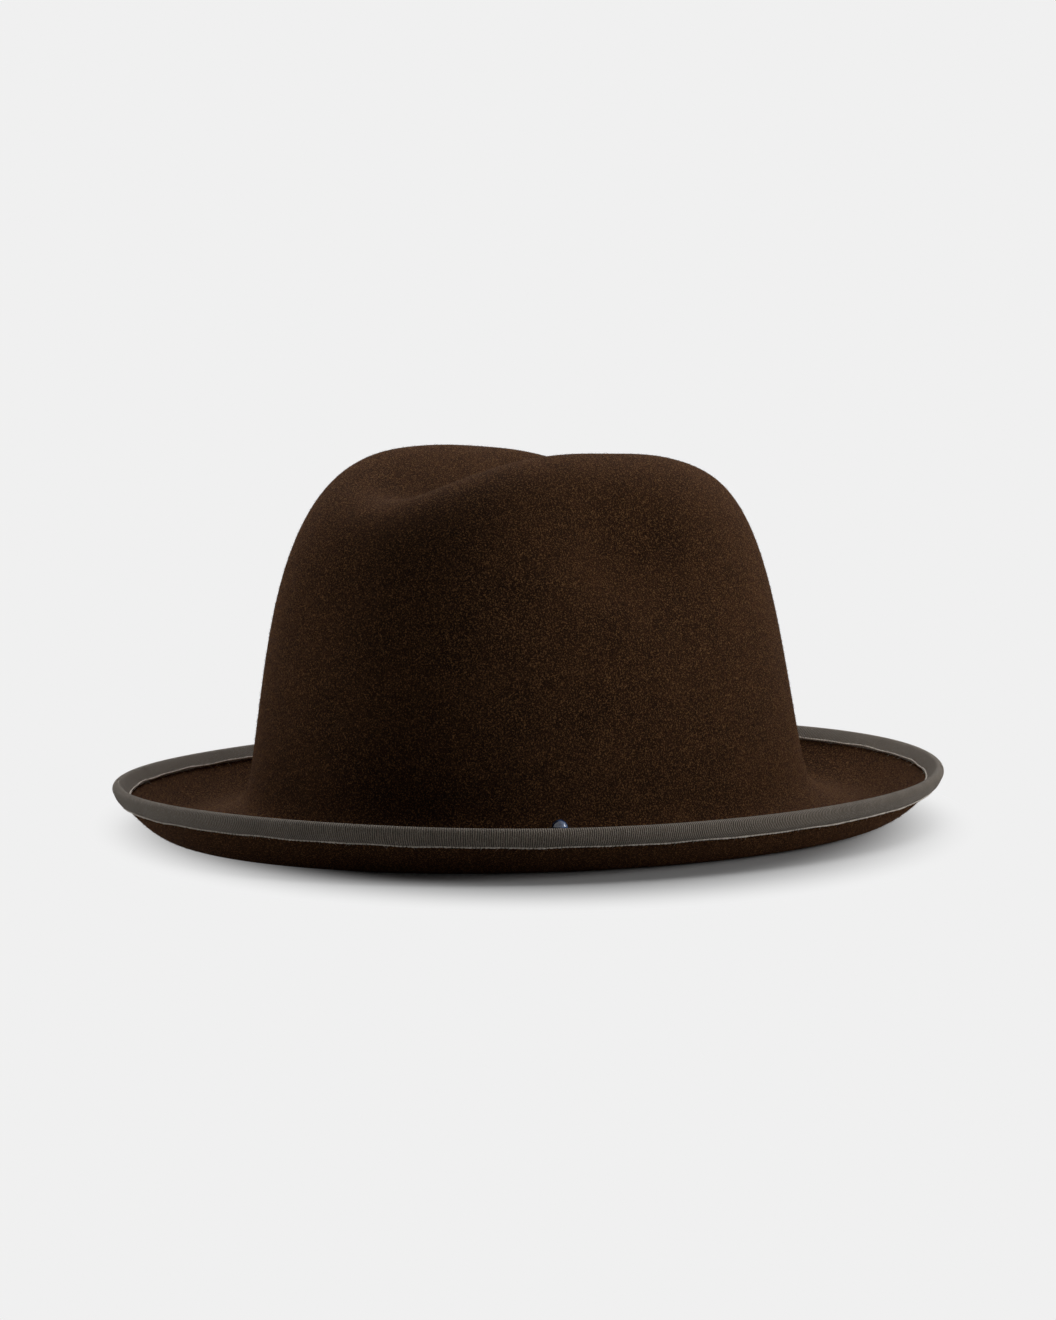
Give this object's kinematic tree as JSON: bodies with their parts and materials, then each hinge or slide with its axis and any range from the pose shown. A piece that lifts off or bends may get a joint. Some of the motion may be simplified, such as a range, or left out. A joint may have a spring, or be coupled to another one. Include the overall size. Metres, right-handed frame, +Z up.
{
  "type": "fedora hat",
  "caption": "Felt fedora with a centre-creased, pinched crown, an upturned ribbon-bound brim, a leather sweatband, a satin lining and a small glass bead.",
  "frame": {"origin": "under the middle of the brim, on the surface that the brim stands on", "axes": "+Z up, -Y to the front of the hat, +X to the wearer's left"},
  "size_m": [0.2634, 0.312, 0.1281],
  "materials": {
    "fur_felt": "dark chocolate brown fur felt with a short soft nap",
    "grosgrain_ribbon": "taupe grey grosgrain with fine cross ribs",
    "cream_thread": "cream cotton sewing thread",
    "satin": "brown satin",
    "satin_piping": "light brown satin over a cord",
    "sweatband_leather": "smooth brown sweatband leather",
    "reed_plastic": "pale extruded plastic",
    "woven_tape": "dark brown woven tape",
    "brown_thread": "brown sewing thread",
    "bow_ribbon": "narrow taupe ribbon",
    "label_cloth": "plain off-white woven label",
    "blue_glass": "glossy blue glass",
    "dark_thread": "dark brown sewing thread"
  },
  "bodies": {
    "root": {"felt_body": "fur_felt", "brim_binding": "grosgrain_ribbon", "binding_thread_upper": "cream_thread", "binding_thread_under": "cream_thread", "lining_side": "satin", "lining_tip": "satin", "lining_piping": "satin_piping", "sweatband": "sweatband_leather", "sweatband_reed": "reed_plastic", "reed_tape": "woven_tape", "sweatband_thread": "brown_thread", "sweatband_tab": "sweatband_leather", "sweatband_bow": "bow_ribbon", "size_label": "label_cloth", "crown_bead": "blue_glass", "bead_thread": "dark_thread"}
  },
  "joints": []
}
